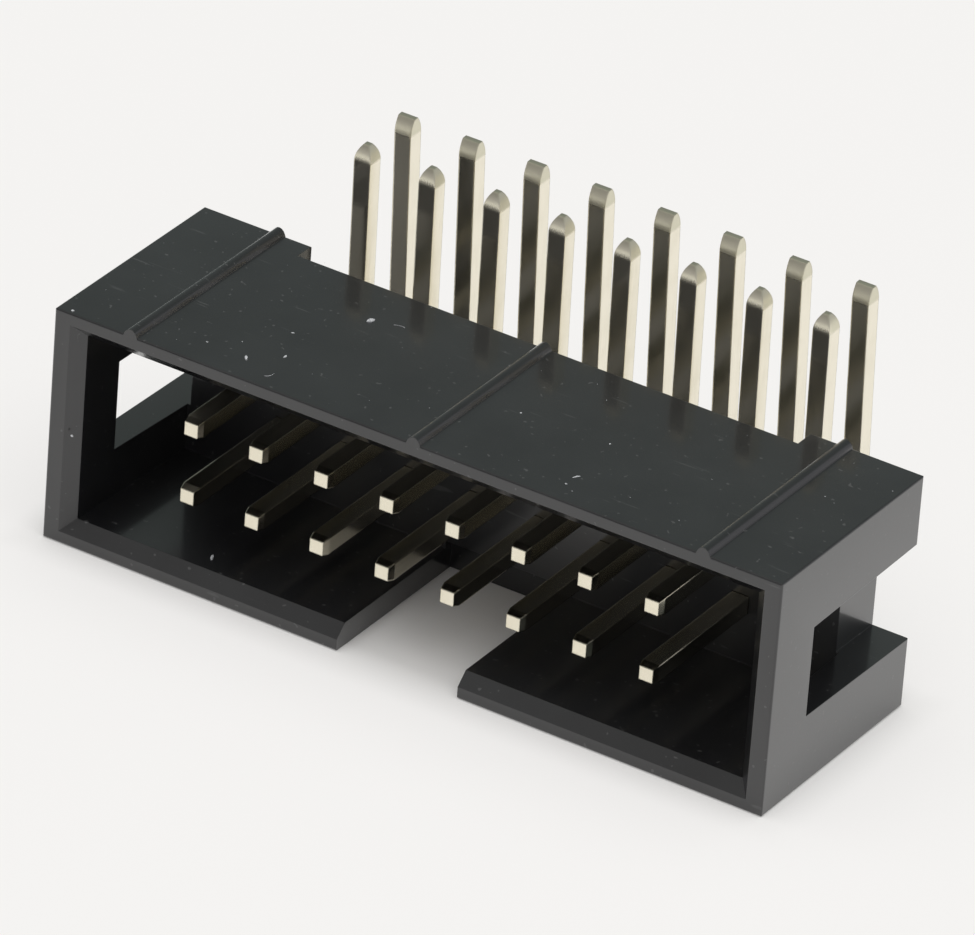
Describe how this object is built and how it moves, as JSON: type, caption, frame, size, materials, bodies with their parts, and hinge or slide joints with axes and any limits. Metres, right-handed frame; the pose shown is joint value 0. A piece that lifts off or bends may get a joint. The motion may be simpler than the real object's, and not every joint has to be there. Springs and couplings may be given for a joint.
{
  "type": "idc box header",
  "caption": "Right-angle box header: black moulded shroud with a keyed, open-fronted cavity, end slots and standoff ribs, holding two rows of bent square pins.",
  "frame": {"origin": "on the surface that the header lies on, below the middle of its bounding box", "axes": "+X along the rows of pins, -Y out of the mouth towards the mating socket, +Z out of the board side along the solder tails"},
  "size_m": [0.028, 0.0138, 0.0121],
  "materials": {
    "shell": "black glass-filled thermoplastic, semi-gloss as moulded, with faint scuffs",
    "pin_metal": "tin-plated brass wire, bright with faint draw marks"
  },
  "bodies": {
    "root": {"housing": "shell", "pin_01": "pin_metal", "pin_02": "pin_metal", "pin_03": "pin_metal", "pin_04": "pin_metal", "pin_05": "pin_metal", "pin_06": "pin_metal", "pin_07": "pin_metal", "pin_08": "pin_metal", "pin_09": "pin_metal", "pin_10": "pin_metal", "pin_11": "pin_metal", "pin_12": "pin_metal", "pin_13": "pin_metal", "pin_14": "pin_metal", "pin_15": "pin_metal", "pin_16": "pin_metal"}
  },
  "joints": []
}
